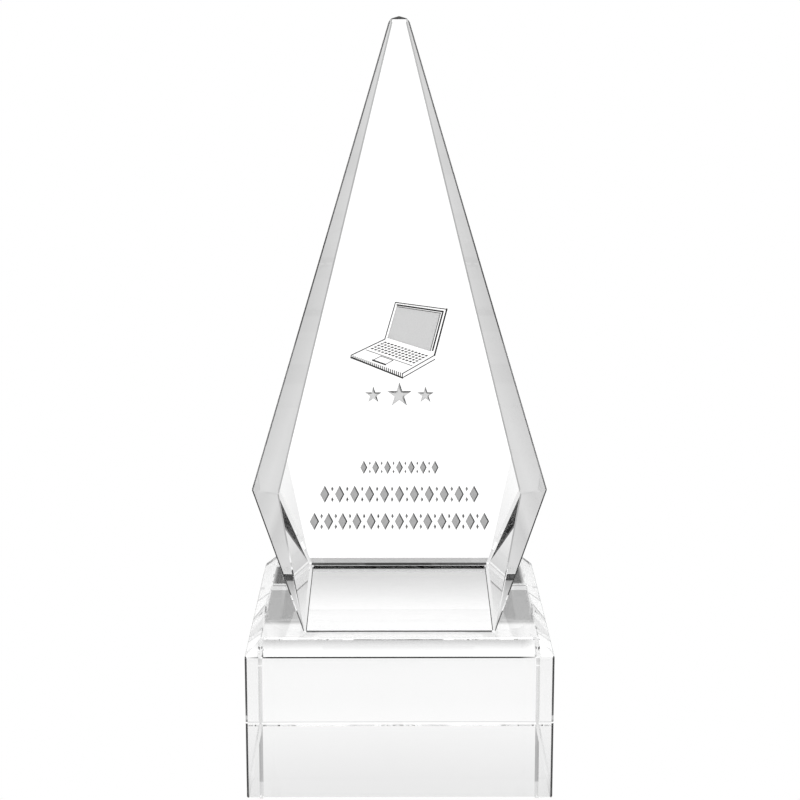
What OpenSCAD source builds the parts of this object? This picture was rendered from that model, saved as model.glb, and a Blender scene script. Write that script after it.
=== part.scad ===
// Faceted crystal award: a tall, pointed crystal bonded to a clear block.
// Its front face carries a laptop pictogram, three stars and three rows of ornament,
// each cut as a shallow recess and filled with matt grey paint.
// Millimetres. +Z up, front towards -Y, origin at the centre of the underside.

/* [Base block] */
// Width of the block, left to right
base_w = 80; // [70:1:100]
// Depth of the block, front to back
base_d = 84; // [80:1:100]
// Height of the block
base_h = 43; // [35:1:55]
// Size of the 45 degree bevel round the top
top_bevel = 4; // [2:0.5:6]
// Size of the small bevel round the underside
sole_bevel = 0.6; // [0.4:0.1:2]

/* [Adhesive] */
// Thickness of the clear adhesive between the two crystals
film_t = 0.1; // [0.05:0.05:0.3]
// How far the adhesive stays back from the edge of the foot
film_inset = 0.7; // [0.2:0.1:1]

/* [Spire] */
// Height of the whole award, block included
award_h = 200.8; // [180:0.2:230]
// Width of the spire's foot
foot_w = 50; // [44:1:54]
// Depth of the spire's foot
foot_d = 69; // [60:1:72]
// Height of the girdle, the widest line, above the foot
girdle_rise = 35.5; // [30:0.5:40]
// Width over the girdle's outer corners
girdle_w = 77.8; // [72:0.2:84]
// Width of the front face at the girdle
girdle_face_w = 63.4; // [56:0.2:66]
// How far the girdle's outer corners stand in front of the middle
girdle_front_d = 23; // [20:0.5:25]
// How far they stand behind the middle
girdle_back_d = 25; // [20:0.5:26]
// Width over the shoulders of the blunt tip
tip_w = 5.6; // [4:0.2:8]
// Width of the front face at those shoulders
tip_face_w = 3.9; // [2:0.1:4]
// Depth of the spire at those shoulders
tip_d = 5; // [4:0.2:8]
// Height of the crown ground on the tip, above its shoulders
crown_h = 1.6; // [1:0.1:3]

/* [Edges] */
// Width of the narrow polished bevel along the edges of both crystals
arris_w = 0.4; // [0.2:0.1:0.6]
// Width of the wider bevel along the block's upright corners and the spire's outermost edges and foot
outer_arris_w = 0.8; // [0.2:0.1:1]

/* [Engraving] */
// Depth of the engraved recesses
engrave_depth = 0.4; // [0.3:0.05:0.6]
// Thickness of the grey paint on their floors
fill_t = 0.2; // [0.1:0.05:0.25]
// Clearance between the paint and the walls of its recess
fill_slack = 0.02; // [0.01:0.01:0.04]
// Height of the pictogram's centre, measured up the front face from the foot
icon_v = 75.9; // [70:0.1:90]
// Height of the stars' centres up the front face
stars_v = 62.1; // [58:0.1:66]
// Outer radius of the centre star
star_r = 3.4; // [2:0.1:3.6]
// Outer radius of the two smaller stars
small_star_r = 2.3; // [1.5:0.1:2.5]
// Distance from the centre star to each smaller one
star_pitch = 6.8; // [6:0.1:8]
// Keys across the pictogram's keyboard
key_columns = 13; // [8:1:14]
// Rows of keys
key_rows = 5; // [3:1:5]

/* [Hidden] */

CRYSTAL = [0.90, 0.94, 0.94, 0.45];
FILM = [0.95, 0.96, 0.92, 0.5];
LIGHT_GREY = [0.78, 0.78, 0.78];
MID_GREY = [0.60, 0.60, 0.60];
DARK_GREY = [0.33, 0.33, 0.33];

// Heights of the spire's foot, girdle and shoulders above the underside
foot_z = base_h + film_t;
girdle_z = foot_z + girdle_rise;
shoulder_z = award_h - crown_h;

// The front and back faces lean towards each other by this angle
face_lean = atan((foot_d - tip_d) / 2 / (shoulder_z - foot_z));
function front_y(z) = -foot_d / 2 + (z - foot_z) * tan(face_lean);

// Right-hand corners: where the facets meet the front and side faces. The back of the spire
// repeats the front, but its outer corners stand further out, so its facets turn less.
foot_corner = [foot_w / 2, -foot_d / 2, foot_z];
girdle_inner = [girdle_face_w / 2, front_y(girdle_z), girdle_z];
girdle_outer = [girdle_w / 2, -girdle_front_d, girdle_z];
back_girdle_outer = [girdle_w / 2, -girdle_back_d, girdle_z];
tip_inner = [tip_face_w / 2, front_y(shoulder_z), shoulder_z];

// Directions that the faces and facets look in
front_out = [0, -cos(face_lean), sin(face_lean)];
upper_side_out = unit([shoulder_z - girdle_z, 0, (girdle_w - tip_w) / 2]);
lower_side_out = unit([girdle_rise, 0, (foot_w - girdle_w) / 2]);
foot_out = [0, 0, -1];
function unit(v) = v / norm(v);
function corner_out(a, b, c) = let (n = unit(cross(b - a, c - a))) n * sign(n * [1, -1, 0]);

// The crown's second break, as shares of the tip's width, its depth and the crown's height
crown_w_share = 0.74;
crown_d_share = 0.68;
crown_h_share = 0.62;
crown_z = shoulder_z + crown_h * crown_h_share;

// The laptop is drawn in perspective, in a lid and a deck that share the hinge line.
// Places are measured from the pictogram's centre, across and up the front face.
hinge_left = [-3.8, 0.8];
hinge_right = [9.2, -3.4];
lid_left = [-1, 10.4];
lid_right = [12.4, 8.6];
deck_left = [-12.6, -3.4];
deck_right = [0.8, -8.2];
LID = [hinge_left, hinge_right, lid_right, lid_left];
DECK = [hinge_left, hinge_right, deck_right, deck_left];
deck_t = 1.1;

// Ornament rows: height up the face, lozenge height, lozenge width, pitch and count
UPPER_ROW = [43.2, 3.6, 1.9, 3.1, 7];
MIDDLE_ROW = [36.2, 4.6, 2.5, 3.9, 11];
LOWER_ROW = [29.1, 4.6, 2.5, 3.7, 13];
bead_share = 0.3;

// Inner radius of a five-pointed star, as a share of its outer radius
star_inner_share = 0.382;

// Widths of the engraved lines, and the number of ticks along the deck's front edge
hair_line = 0.2;
thin_line = 0.28;
thick_line = 0.45;
hatch_count = 26;

module prism_y(outline, d) {
    translate([0, d / 2, 0]) rotate([90, 0, 0]) linear_extrude(d) polygon(outline);
}

module prism_x(outline, w) {
    translate([-w / 2, 0, 0]) rotate([90, 0, 90]) linear_extrude(w) polygon(outline);
}

// A symmetric outline from its right-hand points, given from the bottom up
function both_sides(right) = concat(right,
    [for (i = [len(right) - 1:-1:0]) if (right[i][0] > 0) [-right[i][0], right[i][1]]]);

// Base block: each outline has a narrow bevel where a side meets the wide top bevel
arris_near = arris_w * sin(22.5);
arris_far = arris_near * sqrt(2);
function block_outline(size) = let (side = size / 2, top = side - top_bevel) both_sides([
    [side - sole_bevel, 0], [side, sole_bevel],
    [side, base_h - top_bevel - arris_far],
    [side - arris_near, base_h - top_bevel + arris_near],
    [top + arris_near, base_h - arris_near], [top - arris_far, base_h]]);

module block_plan() {
    x = base_w / 2;
    y = base_d / 2;
    c = outer_arris_w * sin(45);
    polygon([[x, y - c], [x - c, y], [c - x, y], [-x, y - c],
        [-x, c - y], [c - x, -y], [x - c, -y], [x, c - y]]);
}

module base_block() color(CRYSTAL) intersection() {
    prism_y(block_outline(base_w), base_d);
    prism_x(block_outline(base_d), base_w);
    linear_extrude(base_h) block_plan();
}

// Adhesive
module adhesive_film() color(FILM)
    translate([-foot_w / 2 + film_inset, -foot_d / 2 + film_inset, base_h])
        cube([foot_w - 2 * film_inset, foot_d - 2 * film_inset, film_t]);

// Spire: a blank with its front, back and sides cut, then ground at its four corners
module spire_blank() intersection() {
    prism_y(both_sides([[foot_w / 2, foot_z], [girdle_w / 2, girdle_z],
        [tip_w / 2, shoulder_z], [tip_w / 2 * crown_w_share, crown_z], [0, award_h]]), foot_d);
    prism_x(both_sides([[foot_d / 2, foot_z], [tip_d / 2, shoulder_z],
        [tip_d / 2 * crown_d_share, award_h]]), girdle_w);
}

// All that lies beyond a plane, given by one of its points and the way it faces
module beyond(point, out) translate(point) rotate([0, acos(out[2]), atan2(out[1], out[0])])
    translate([-award_h, -award_h, 0]) cube([2 * award_h, 2 * award_h, award_h]);

// What a narrow bevel takes off the edge through a point, where two facets meet
module arris(point, out_a, out_b, w = arris_w) {
    mid = unit(out_a + out_b);
    depth = w / 2 * tan(acos(out_a * out_b) / 2);
    beyond(point - mid * depth, mid);
}

// The two facets of a front right corner and the narrow bevels round them. The back corners' two
// facets are so nearly in line that their own edge is left as ground.
module corner_cuts(outer) {
    upper_out = corner_out(girdle_inner, outer, tip_inner);
    lower_out = corner_out(foot_corner, girdle_inner, outer);
    beyond(girdle_inner, upper_out);
    beyond(girdle_inner, lower_out);
    arris(girdle_inner, front_out, upper_out);
    arris(girdle_inner, front_out, lower_out);
    arris(outer, upper_side_out, upper_out, outer_arris_w);
    arris(outer, lower_side_out, lower_out, outer_arris_w);
}

module side_cuts() {
    arris(girdle_inner, corner_out(girdle_inner, girdle_outer, tip_inner),
        corner_out(foot_corner, girdle_inner, girdle_outer));
    arris(girdle_outer, upper_side_out, lower_side_out);
    arris(foot_corner, lower_side_out, foot_out, outer_arris_w);
}

module spire() color(CRYSTAL) difference() {
    spire_blank();
    for (side = [0, 1]) mirror([side, 0, 0]) {
        corner_cuts(girdle_outer);
        mirror([0, 1, 0]) corner_cuts(back_girdle_outer);
        side_cuts();
    }
    for (back = [0, 1]) mirror([0, back, 0])
        arris(foot_corner, front_out, foot_out, outer_arris_w);
    recess() all_marks();
}

// Places flat work on the front face: X across, Y up the face, Z out of it
module on_front_face() translate([0, -foot_d / 2, foot_z]) rotate([90 - face_lean, 0, 0])
    children();

module recess() on_front_face() translate([0, 0, -engrave_depth])
    linear_extrude(2 * engrave_depth) children();

module fill() on_front_face() translate([0, 0, fill_slack - engrave_depth])
    linear_extrude(fill_t) children();

// Flat outlines of the marks. Slack draws each one smaller, for the paint in its recess.
function lerp(a, b, t) = a + (b - a) * t;
function at(quad, s, t) = lerp(lerp(quad[0], quad[1], s), lerp(quad[3], quad[2], s), t);
function middle(points) = [for (p = points) 1] * points / len(points);

// A patch of a perspective quad, between two places across it and two down it
module area(quad, across, down, slack) {
    corners = [at(quad, across[0], down[0]), at(quad, across[1], down[0]),
        at(quad, across[1], down[1]), at(quad, across[0], down[1])];
    centre = middle(corners);
    polygon([for (p = corners) p - (p - centre) / norm(p - centre) * 2 * slack]);
}

// A straight line with square ends
module stroke(from, to, width, slack) {
    along = (to - from) / norm(to - from) * (width / 2 - slack);
    aside = [-along[1], along[0]];
    polygon([from - along - aside, to + along - aside, to + along + aside, from - along + aside]);
}

module star(r, slack) polygon([for (i = [0:9])
    (i % 2 == 0 ? 1 : star_inner_share) * (r - 3 * slack) * [sin(36 * i), cos(36 * i)]]);

module lozenge(h, w, slack) {
    half_h = h / 2 - 2 * slack;
    half_w = w / 2 - 2 * slack;
    polygon([[0, -half_h], [half_w, 0], [0, half_h], [-half_w, 0]]);
}

// A row of lozenges with a small bead between each pair
module ornament(row, slack) translate([0, row[0]]) {
    h = row[1];
    w = row[2];
    pitch = row[3];
    last = (row[4] - 1) / 2;
    for (i = [-last:last]) translate([i * pitch, 0]) lozenge(h, w, slack);
    for (i = [-last + 0.5:last - 0.5], side = [-1, 1])
        translate([i * pitch, side * h * bead_share]) lozenge(h * bead_share, w * bead_share, slack);
}

module screen_marks(slack) area(LID, [0.04, 0.91], [0.05, 0.91], slack);

module lid_marks(slack) {
    stroke(hinge_left, lid_left, thin_line, slack);
    stroke(lid_left, lid_right, thin_line, slack);
    stroke(lid_right, hinge_right, thick_line, slack);
    stroke(at(LID, 0.05, 0.94), at(LID, 0.94, 0.94), thick_line, slack);
    stroke(at(LID, 0.94, 0.94), at(LID, 0.94, 0.09), thick_line, slack);
}

module keys_marks(slack) {
    span = [0.06, 0.95];
    rows = [0.08, 0.56];
    fill_share = 0.68;
    for (c = [0:key_columns - 1], r = [0:key_rows - 1]) {
        s = [for (e = [0, fill_share]) lerp(span[0], span[1], (c + e) / key_columns)];
        t = [for (e = [0, fill_share]) lerp(rows[0], rows[1], (r + e) / key_rows)];
        area(DECK, s, t, slack);
    }
}

module deck_marks(slack) {
    drop = [0, -deck_t];
    stroke(hinge_left, deck_left, thin_line, slack);
    stroke(hinge_right, deck_right, thin_line, slack);
    stroke(hinge_right + drop, deck_right + drop, thin_line, slack);
    stroke(deck_left + drop / 2, deck_right + drop, thick_line, slack);
    for (i = [0:hatch_count]) {
        top = at(DECK, i / hatch_count, 1);
        stroke(top, top + drop * 0.7, thin_line, slack);
    }
    stroke(at(DECK, 0.04, 0.62), at(DECK, 0.95, 0.62), hair_line, slack);
}

module trackpad_marks(slack) {
    far = 0.66;
    near = 0.9;
    left = 0.36;
    right = 0.6;
    stroke(at(DECK, left, far), at(DECK, left, near), hair_line, slack);
    stroke(at(DECK, right, far), at(DECK, right, near), hair_line, slack);
    stroke(at(DECK, left, near), at(DECK, right, near), thick_line, slack);
    stroke(at(DECK, left, far), at(DECK, right, far), hair_line, slack);
}

// Where each pictogram part, star and row of ornament lies on the face
module on_icon() translate([0, icon_v]) children();
module left_star(slack) translate([-star_pitch, stars_v]) star(small_star_r, slack);
module centre_star(slack) translate([0, stars_v]) star(star_r, slack);
module right_star(slack) translate([star_pitch, stars_v]) star(small_star_r, slack);

module all_marks() {
    on_icon() {
        screen_marks(0);
        lid_marks(0);
        keys_marks(0);
        deck_marks(0);
        trackpad_marks(0);
    }
    left_star(0);
    centre_star(0);
    right_star(0);
    for (row = [UPPER_ROW, MIDDLE_ROW, LOWER_ROW]) ornament(row, 0);
}

// Paint fillings
module laptop_screen_fill() color(LIGHT_GREY) fill() on_icon() screen_marks(fill_slack);
module laptop_lid_fill() color(DARK_GREY) fill() on_icon() lid_marks(fill_slack);
module laptop_keys_fill() color(MID_GREY) fill() on_icon() keys_marks(fill_slack);
module laptop_deck_fill() color(DARK_GREY) fill() on_icon() deck_marks(fill_slack);
module laptop_trackpad_fill() color(DARK_GREY) fill() on_icon() trackpad_marks(fill_slack);
module left_star_fill() color(MID_GREY) fill() left_star(fill_slack);
module centre_star_fill() color(MID_GREY) fill() centre_star(fill_slack);
module right_star_fill() color(MID_GREY) fill() right_star(fill_slack);
module upper_ornament_fill() color(MID_GREY) fill() ornament(UPPER_ROW, fill_slack);
module middle_ornament_fill() color(MID_GREY) fill() ornament(MIDDLE_ROW, fill_slack);
module lower_ornament_fill() color(MID_GREY) fill() ornament(LOWER_ROW, fill_slack);

base_block();
adhesive_film();
spire();
laptop_screen_fill();
laptop_lid_fill();
laptop_keys_fill();
laptop_deck_fill();
laptop_trackpad_fill();
left_star_fill();
centre_star_fill();
right_star_fill();
upper_ornament_fill();
middle_ornament_fill();
lower_ornament_fill();
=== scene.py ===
"""Looks of the crystal award: two polished crystals, bonded, with grey engraving, on a pale floor."""

import math

import bmesh
import bpy
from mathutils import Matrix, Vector


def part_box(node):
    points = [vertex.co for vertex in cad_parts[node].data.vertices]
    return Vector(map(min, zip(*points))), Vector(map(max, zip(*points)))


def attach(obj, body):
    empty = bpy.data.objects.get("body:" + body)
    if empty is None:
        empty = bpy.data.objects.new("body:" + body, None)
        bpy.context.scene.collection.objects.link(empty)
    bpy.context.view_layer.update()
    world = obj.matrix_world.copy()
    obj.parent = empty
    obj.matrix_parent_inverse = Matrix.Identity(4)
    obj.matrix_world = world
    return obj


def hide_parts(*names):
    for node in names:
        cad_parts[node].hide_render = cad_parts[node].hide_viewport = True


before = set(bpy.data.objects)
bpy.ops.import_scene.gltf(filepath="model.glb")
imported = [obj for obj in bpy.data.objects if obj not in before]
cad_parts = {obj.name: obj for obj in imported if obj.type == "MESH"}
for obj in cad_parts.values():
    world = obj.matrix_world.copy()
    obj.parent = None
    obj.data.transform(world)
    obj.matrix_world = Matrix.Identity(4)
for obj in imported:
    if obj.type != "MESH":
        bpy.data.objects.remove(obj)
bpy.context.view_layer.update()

MM = 0.001
CRYSTAL_IOR = 1.517

# Places closer than this, in metres, count as the same
CLOSE = 1e-6

# The bonded patch, where light passes between the two crystals without bending
BOND_LOW, BOND_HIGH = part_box("adhesive_film")

# Brightness of each paint filling's face and of the painted shade along its right and upper edges, and that
# painted shade's reach in millimetres
PAINTS = {
    "laptop_screen_fill": (0.74, 0.05, 0.3),
    # The lid's dark strokes are partly the icon's outline and partly painted shadow along the lid's and the
    # screen's top and right edges
    "laptop_lid_fill": (0.03, 0.02, 0.1),
    "laptop_keys_fill": (0.1, 0.03, 0.1),
    "laptop_deck_fill": (0.04, 0.02, 0.1),
    "laptop_trackpad_fill": (0.04, 0.02, 0.1),
    "left_star_fill": (0.78, 0.01, 0.5),
    "centre_star_fill": (0.78, 0.01, 0.65),
    "right_star_fill": (0.78, 0.01, 0.5),
    "upper_ornament_fill": (0.5, 0.03, 0.4),
    "middle_ornament_fill": (0.5, 0.03, 0.45),
    "lower_ornament_fill": (0.5, 0.03, 0.45),
}

# The studio is one that only the crystal shows. Turns are degrees away from straight ahead or straight
# behind, and heights are degrees above the horizon. A turn of AHEAD or less takes in the very middle.
AHEAD = -30
TABLE_LIGHT = [(0, 1.2), (5.5, 1.2), (8.4, 0.92), (11, 0.65), (16, 0.62), (20, 0.6), (28, 0.6), (33, 0.78),
               (38, 0.03), (50, 0.03), (56, 0.75), (90, 0.65)]
WALL_LIGHT = [(0, 1.1), (5.5, 1.1), (8, 0.95), (12, 0.66), (16.5, 0.58), (18.5, 0.87), (22.9, 0.95),
              (24.8, 0.03), (37, 0.02), (42, 1.0), (60, 0.95), (90, 0.8)]

# Cards that hang over it, as (turns, heights, brightness, softness of the edge)
LOW_CARDS = [
    ((36, 51.5), (-44, -8), 0.0, 1),
    ((13.4, 15.4), (-22, -20.2), 0.88, 0.6),
    ((18.4, 21), (-17.5, -13.5), 1.2, 0.6),
    ((AHEAD, 4.6), (-42, -31.8), 0.03, 0.4),
    ((9, 10.8), (-17.5, -14.3), 0.05, 1),
    ((AHEAD, 4.6), (-3, 4), 0.05, 1),
    ((AHEAD, 6), (13, 19.6), 0.08, 1),
]
SIDE_CARDS = [
    ((83, 86), (14, 21.4), 0.88, 1),
    ((83, 86), (21.4, 30), 0.5, 1),
]
HIGH_CARDS = [
    ((AHEAD, 6), (28, 45.9), 0.55, (1, 0.7)),
    ((AHEAD, 6), (50, 60), 0.3, 1),
]


class Nodes:
    """Short names for making and joining shader nodes."""

    def __init__(self, tree):
        self.tree = tree

    def add(self, kind, **inputs):
        node = self.tree.nodes.new(kind)
        for name, value in inputs.items():
            self.set(node.inputs[name.replace("_", " ")], value)
        return node

    def set(self, socket, value):
        if isinstance(value, bpy.types.NodeSocket):
            self.tree.links.new(value, socket)
        else:
            socket.default_value = value

    def math(self, operation, a, b=0.0, c=0.0):
        node = self.tree.nodes.new("ShaderNodeMath")
        node.operation = operation
        for socket, value in zip(node.inputs, (a, b, c)):
            self.set(socket, value)
        return node.outputs[0]

    def rise(self, value, start, end):
        """0 below start, 1 above end, and smooth between them."""
        node = self.tree.nodes.new("ShaderNodeMapRange")
        node.interpolation_type = "SMOOTHSTEP"
        self.set(node.inputs["Value"], value)
        self.set(node.inputs["From Min"], start)
        self.set(node.inputs["From Max"], end)
        return node.outputs[0]

    def inside(self, value, low, high, soft):
        """1 between low and high, 0 outside, over a soft edge."""
        up = self.rise(value, low - soft / 2, low + soft / 2)
        down = self.rise(value, high - soft / 2, high + soft / 2)
        return self.math("SUBTRACT", up, down)

    def mix(self, share, a, b):
        """a where share is 0, b where it is 1."""
        return self.math("MULTIPLY_ADD", share, self.math("SUBTRACT", b, a), a)

    def profile(self, value, highest, stops):
        """A line through (place, level) stops. The curve node ends at 1, so it holds half of each level."""
        ramp = self.tree.nodes.new("ShaderNodeFloatCurve")
        curve = ramp.mapping.curves[0]
        points = [(place / highest, level / 2) for place, level in stops]
        while len(curve.points) < len(points):
            curve.points.new(0.5, 0.5)
        for point, (x, y) in zip(curve.points, points):
            point.location = (x, y)
            point.handle_type = "VECTOR"
        ramp.mapping.update()
        self.set(ramp.inputs["Value"], self.math("DIVIDE", value, highest))
        return self.math("MULTIPLY", ramp.outputs[0], 2.0)


def new_material(name):
    """A new material's nodes and its output node."""
    mat = bpy.data.materials.new(name)
    mat.use_nodes = True
    mat.node_tree.nodes.clear()
    nodes = Nodes(mat.node_tree)
    return mat, nodes, nodes.add("ShaderNodeOutputMaterial")


def crystal_material(name, clearest):
    """Polished optical crystal, with a trace of unevenness in how much light its skin lets through."""
    mat, nodes, out = new_material(name)
    place = nodes.add("ShaderNodeTexCoord").outputs["Object"]
    haze = nodes.add("ShaderNodeTexNoise", Vector=place, Scale=60.0, Detail=3.0)
    level = nodes.mix(haze.outputs[0], clearest - 0.008, clearest + 0.002)
    tint = nodes.add("ShaderNodeCombineColor", Red=level, Green=level, Blue=level)
    glass = nodes.add("ShaderNodeBsdfGlass", Color=tint.outputs[0], Roughness=0.0, IOR=CRYSTAL_IOR)
    nodes.set(out.inputs["Surface"], glass.outputs[0])
    return mat


def bond_material():
    """Nothing to see: light goes straight from one crystal into the other."""
    mat, nodes, out = new_material("bonded_face")
    clear = nodes.add("ShaderNodeBsdfTransparent", Color=(1, 1, 1, 1))
    nodes.set(out.inputs["Surface"], clear.outputs[0])
    return mat


def adhesive_material():
    """Clear cured adhesive, with a very faint cloudiness in it."""
    mat, nodes, out = new_material("clear_adhesive")
    place = nodes.add("ShaderNodeTexCoord").outputs["Object"]
    cloud = nodes.add("ShaderNodeTexNoise", Vector=place, Scale=90.0, Detail=3.0)
    level = nodes.mix(cloud.outputs[0], 0.985, 1.0)
    tint = nodes.add("ShaderNodeCombineColor", Red=level, Green=level, Blue=level)
    clear = nodes.add("ShaderNodeBsdfTransparent", Color=tint.outputs[0])
    nodes.set(out.inputs["Surface"], clear.outputs[0])
    return mat


def paint_material(name, level, painted_shade_level, reach):
    """Matt paint with a fine grain, darkened by painted shade near the recess walls on its right and its
    upper side.

    The painted shade lies where the surface, if its edges were rounded, would lean to the right or upwards by
    more than the face itself does."""
    mat, nodes, out = new_material(name)
    grain = nodes.add("ShaderNodeTexNoise", Vector=nodes.add("ShaderNodeTexCoord").outputs["Object"],
                      Scale=6000.0, Detail=4.0)
    face = nodes.mix(grain.outputs[0], level * 0.88, level * 1.12)
    rounded = nodes.add("ShaderNodeBevel", Radius=reach * MM)
    rounded.samples = 8
    local = nodes.add("ShaderNodeVectorTransform", Vector=rounded.outputs[0])
    local.vector_type = "NORMAL"
    local.convert_from = "WORLD"
    local.convert_to = "OBJECT"
    side = nodes.add("ShaderNodeSeparateXYZ", Vector=local.outputs[0])
    lean = nodes.math("ADD", nodes.math("MULTIPLY", side.outputs["X"], 1.4), side.outputs["Z"])
    face_lean = 0.2
    # Painted shade: the colour goes to the dark rim level where the rounded surface leans right or up
    shade = nodes.mix(nodes.rise(lean, face_lean, face_lean + 0.035), face, painted_shade_level)
    colour = nodes.add("ShaderNodeCombineColor", Red=shade, Green=shade, Blue=shade)
    skin = nodes.add("ShaderNodeBsdfPrincipled", Base_Color=colour.outputs[0], Roughness=0.85)
    bump = nodes.add("ShaderNodeBump", Height=grain.outputs[0], Strength=0.3, Distance=0.02 * MM)
    nodes.set(skin.inputs["Normal"], bump.outputs[0])
    nodes.set(out.inputs["Surface"], skin.outputs[0])
    return mat


def bonded_copy(node, name, bond_z, glass, bond):
    """A copy of a crystal whose surface is split along the bonded patch, so that the patch can be clear."""
    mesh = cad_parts[node].data.copy()
    mesh.name = name
    bm = bmesh.new()
    bm.from_mesh(mesh)
    bmesh.ops.remove_doubles(bm, verts=bm.verts, dist=CLOSE / 10)
    for axis in (0, 1):
        for place in (BOND_LOW[axis], BOND_HIGH[axis]):
            point, normal = Vector((0, 0, 0)), Vector((0, 0, 0))
            point[axis], normal[axis] = place, 1
            flat = [f for f in bm.faces if all(abs(v.co.z - bond_z) < CLOSE for v in f.verts)]
            geom = flat + list({e for f in flat for e in f.edges}) + list({v for f in flat for v in f.verts})
            bmesh.ops.bisect_plane(bm, geom=geom, dist=CLOSE / 100, plane_co=point, plane_no=normal)
    for f in bm.faces:
        middle = f.calc_center_median()
        on_patch = abs(middle.z - bond_z) < CLOSE and all(
            BOND_LOW[a] - CLOSE < middle[a] < BOND_HIGH[a] + CLOSE for a in (0, 1))
        f.material_index = 1 if on_patch else 0
        f.smooth = False
    mesh.materials.clear()
    mesh.materials.append(glass)
    mesh.materials.append(bond)
    bm.to_mesh(mesh)
    bm.free()
    piece = bpy.data.objects.new(name, mesh)
    bpy.context.scene.collection.objects.link(piece)
    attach(piece, "root")
    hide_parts(node)
    return piece


def set_material(node, mat):
    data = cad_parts[node].data
    data.materials.clear()
    data.materials.append(mat)


def camera():
    """A long lens half a metre in front of the award, level with its tip and looking down a little."""
    data = bpy.data.cameras.new("camera")
    data.sensor_width = 36
    data.lens = 85.25
    data.clip_start = 0.01
    data.clip_end = 50
    cam = bpy.data.objects.new("camera", data)
    bpy.context.scene.collection.objects.link(cam)
    cam.location = (-0.00143, -0.50655, 0.20301)
    cam.rotation_euler = (math.radians(90 - 11.706), 0, math.radians(-0.188))
    bpy.context.scene.camera = cam


def both(nodes, a, b):
    """The share that two shares have in common."""
    return nodes.math("MULTIPLY", a, b)


def hang(nodes, level, turn, height, cards):
    """Hang cards over the studio, each with one softness, or with one across and one up."""
    for turns, heights, shade, soft in cards:
        soft_across, soft_up = soft if isinstance(soft, tuple) else (soft, soft)
        share = both(nodes, nodes.inside(turn, *turns, soft_across), nodes.inside(height, *heights, soft_up))
        level = nodes.mix(share, level, shade)
    return level


def facet_light(nodes, turn, height, to_left):
    """Grade the light that the spire's corner facets show, so that each one brightens towards the front face.

    That light comes from a line which slants by 0.148 degrees of turn for each degree of height. It is
    measured from a turn of 14 degrees, at the height that shows near the tip. The right-hand facets look
    0.32 degrees nearer to the middle than the left-hand ones."""
    slant = nodes.math("MULTIPLY", nodes.math("ADD", height, 19.4), -0.148)
    start = nodes.math("MULTIPLY_ADD", to_left, 0.32, -14.0)
    place = nodes.math("ADD", start, nodes.math("ADD", turn, slant))
    across = nodes.profile(place, 4, [(0, 1), (0.9, 1), (1.3, 0.96), (1.8, 1.1), (2.05, 0.92), (2.7, 1.08),
                                      (3.3, 1), (4, 1)])
    lowest = 36
    down = nodes.profile(nodes.math("ADD", height, lowest), 20,
                         [(0, 1), (2, 1), (3.3, 1.04), (6, 1.0), (8, 0.98), (10, 1), (13.3, 1.02),
                          (16.6, 1.05), (18, 1), (20, 1)])
    share = both(nodes, nodes.inside(place, 1.2, 3.2, 0.4), nodes.inside(height, -34, -17, 1))
    return nodes.mix(share, 1.0, nodes.math("MULTIPLY", across, down))


def world_light():
    """White for the camera, and for the crystal a studio of graded walls and table with cards over them."""
    world = bpy.data.worlds.new("studio")
    bpy.context.scene.world = world
    world.use_nodes = True
    world.node_tree.nodes.clear()
    nodes = Nodes(world.node_tree)
    out = nodes.add("ShaderNodeOutputWorld")
    way = nodes.add("ShaderNodeSeparateXYZ", Vector=nodes.add("ShaderNodeTexCoord").outputs["Generated"])
    across = nodes.math("ABSOLUTE", way.outputs["X"])
    along = nodes.math("ABSOLUTE", way.outputs["Y"])
    turn = nodes.math("DEGREES", nodes.math("ARCTAN2", across, along))
    height = nodes.math("DEGREES", nodes.math("ARCSINE", way.outputs["Z"]))
    to_left = nodes.math("LESS_THAN", way.outputs["X"], 0.0)
    to_front = nodes.math("LESS_THAN", way.outputs["Y"], 0.0)

    # Below, the table, and above it the walls, up to a bright ceiling
    table = nodes.profile(turn, 90, TABLE_LIGHT)
    wall = nodes.profile(turn, 90, WALL_LIGHT)
    level = nodes.mix(nodes.rise(height, -22.5, -20.5), table, wall)

    # A grey strip that leans outwards as it rises, and the grading on the facets
    slant = nodes.math("ADD", turn, nodes.math("MULTIPLY", nodes.math("ADD", height, 16), -0.2))
    strip = both(nodes, nodes.inside(slant, 6.4, 8.2, 0.5), nodes.inside(height, -33, -13, 1))
    level = nodes.mix(strip, level, 0.45)
    level = nodes.math("MULTIPLY", level, facet_light(nodes, turn, height, to_left))
    level = hang(nodes, level, turn, height, LOW_CARDS)

    # Dark straight down, and paler above the middle of the wall
    level = nodes.mix(nodes.rise(height, -60, -48), 0.1, level)
    share = both(nodes, nodes.rise(height, 20, 24), nodes.inside(turn, AHEAD, 9, 2))
    level = nodes.mix(share, level, 0.9)
    level = hang(nodes, level, turn, height, SIDE_CARDS)

    # The ceiling, which starts lower at the sides
    share = both(nodes, nodes.rise(height, 23.8, 25), nodes.rise(turn, 12, 20))
    level = nodes.mix(share, level, 1.2)
    level = nodes.mix(nodes.rise(height, 26, 38), level, 1.3)
    level = hang(nodes, level, turn, height, HIGH_CARDS)

    # Two black cards on the front side, behind the viewer
    upper = both(nodes, nodes.inside(turn, AHEAD, 25, 4), nodes.inside(height, 27, 46, 2))
    lower = both(nodes, nodes.inside(turn, AHEAD, 16, 2), nodes.inside(height, 2, 14, 2))
    level = nodes.mix(both(nodes, to_front, nodes.math("MAXIMUM", upper, lower)), level, 0.05)

    studio = nodes.add("ShaderNodeBackground", Color=(1, 1, 1, 1), Strength=level)
    plain = nodes.add("ShaderNodeBackground", Color=(1, 1, 1, 1), Strength=1.0)
    seen = nodes.add("ShaderNodeLightPath").outputs["Is Camera Ray"]
    either = nodes.tree.nodes.new("ShaderNodeMixShader")
    nodes.set(either.inputs[0], seen)
    nodes.set(either.inputs[1], studio.outputs[0])
    nodes.set(either.inputs[2], plain.outputs[0])
    nodes.set(out.inputs["Surface"], either.outputs[0])


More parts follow.
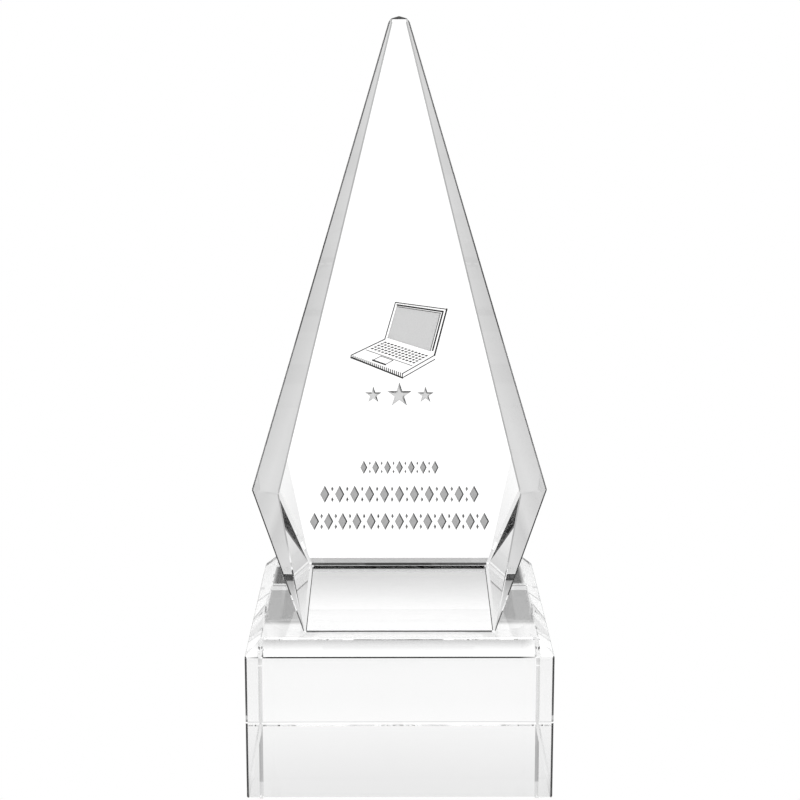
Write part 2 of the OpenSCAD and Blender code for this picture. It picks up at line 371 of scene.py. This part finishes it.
def sheet(name, low, high, z):
    """A staged flat sheet between two corners, with every place in millimetres."""
    mesh = bpy.data.meshes.new(name)
    corners = [(low[0], low[1]), (high[0], low[1]), (high[0], high[1]), (low[0], high[1])]
    mesh.from_pydata([(x * MM, y * MM, z * MM) for x, y in corners], [], [(0, 1, 2, 3)])
    obj = bpy.data.objects.new(name, mesh)
    bpy.context.scene.collection.objects.link(obj)
    return obj


def upright_sheet(name, across, up, y):
    """The same, standing up and facing the front."""
    obj = sheet(name, (across[0], up[0]), (across[1], up[1]), 0)
    for vertex in obj.data.vertices:
        vertex.co = (vertex.co.x, y * MM, vertex.co.y)
    return obj


def for_crystal_only(obj, mat):
    """Give a sheet its material, and hide it from the camera and from matt surfaces."""
    obj.data.materials.append(mat)
    obj.visible_camera = False
    obj.visible_diffuse = False


def floor():
    """An evenly lit white floor. The crystal shows the studio's table in its place."""
    obj = sheet("floor", (-3000, -3000), (3000, 3000), -0.2)
    mat, nodes, out = new_material("floor")
    glow = nodes.add("ShaderNodeEmission", Color=(1, 1, 1, 1), Strength=1.0)
    nodes.set(out.inputs["Surface"], glow.outputs[0])
    obj.data.materials.append(mat)
    obj.visible_transmission = False
    obj.visible_glossy = False


def glowing_card(name, low, high, z, pattern):
    """A flat card whose brightness follows a pattern of its own X and Y in millimetres."""
    obj = sheet(name, low, high, z)
    mat, nodes, out = new_material(name)
    place = nodes.add("ShaderNodeSeparateXYZ", Vector=nodes.add("ShaderNodeNewGeometry").outputs["Position"])
    x = nodes.math("DIVIDE", nodes.math("ABSOLUTE", place.outputs["X"]), MM)
    y = nodes.math("DIVIDE", place.outputs["Y"], MM)
    glow = nodes.add("ShaderNodeEmission", Color=(1, 1, 1, 1), Strength=pattern(nodes, x, y))
    nodes.set(out.inputs["Surface"], glow.outputs[0])
    for_crystal_only(obj, mat)


def side_pattern(nodes, x, y):
    """Bright, with a grey back edge and a dark patch to each side of the middle."""
    level = nodes.mix(nodes.rise(y, 36, 40), 1.28, 0.6)
    dark = both(nodes, nodes.inside(x, 33, 40, 2), nodes.inside(y, -10, 8, 2))
    return nodes.mix(dark, level, 0.12)


def middle_pattern(nodes, x, y):
    """Bright, with grey stripes from side to side and a black one near the back."""
    level = nodes.mix(nodes.inside(y, 4, 11.5, 1), 1.12, 0.62)
    level = nodes.mix(nodes.inside(y, 24, 30.2, 0.6), level, 0.75)
    level = nodes.mix(nodes.rise(y, 33.4, 33.9), level, 0.85)
    band = both(nodes, nodes.inside(y, 30.2, 33.6, 0.5), nodes.inside(x, -1, 26.2, 0.5))
    return nodes.mix(band, level, 0.0)


def grey_gel(obj, bottom, top):
    """Turn a sheet into a grey filter for the light behind it, from one grey at the bottom to another."""
    mat, nodes, out = new_material(obj.name)
    place = nodes.add("ShaderNodeSeparateXYZ", Vector=nodes.add("ShaderNodeNewGeometry").outputs["Position"])
    level = nodes.mix(nodes.rise(place.outputs["Z"], 22 * MM, 41 * MM), bottom, top)
    tint = nodes.add("ShaderNodeCombineColor", Red=level, Green=level, Blue=level)
    gel = nodes.add("ShaderNodeBsdfTransparent", Color=tint.outputs[0])
    nodes.set(out.inputs["Surface"], gel.outputs[0])
    for_crystal_only(obj, mat)


def light_cards():
    """Graded cards under the block, four grey gels round it on the table, and one upright behind it."""
    glowing_card("card_under_block", (-60, -60), (60, 69.5), -10, side_pattern)
    glowing_card("card_under_foot", (-28.5, -30), (28.5, 45), -5, middle_pattern)
    near, far = 43, 104
    strips = {"back": ((-far, near), (far, far)), "front": ((-far, -far), (far, -near)),
              "left": ((-far, -near), (-near, near)), "right": ((near, -near), (far, near))}
    for side, (low, high) in strips.items():
        grey_gel(sheet("gel_" + side, low, high, -0.3), 0.93, 0.93)
    grey_gel(upright_sheet("gel_behind", (-26, 26), (22, 38.8), near + 0.5), 1.0, 0.6)


def render_settings():
    """Plain colours, and enough bounces for light that zigzags through both crystals."""
    scene = bpy.context.scene
    scene.view_settings.view_transform = "Standard"
    bounces = 32
    scene.cycles.max_bounces = bounces
    scene.cycles.transmission_bounces = bounces
    scene.cycles.glossy_bounces = bounces
    scene.cycles.transparent_max_bounces = bounces


camera()
world_light()
floor()
light_cards()
render_settings()
glass = crystal_material("crystal", 1.0)
block_glass = crystal_material("block_crystal", 0.963)
bond = bond_material()
spire = bonded_copy("spire", "spire_crystal", BOND_HIGH.z, glass, bond)
block = bonded_copy("base_block", "block_crystal", BOND_LOW.z, block_glass, bond)
set_material("adhesive_film", adhesive_material())
for name, (level, painted_shade_level, reach) in PAINTS.items():
    set_material(name, paint_material(name, level, painted_shade_level, reach))
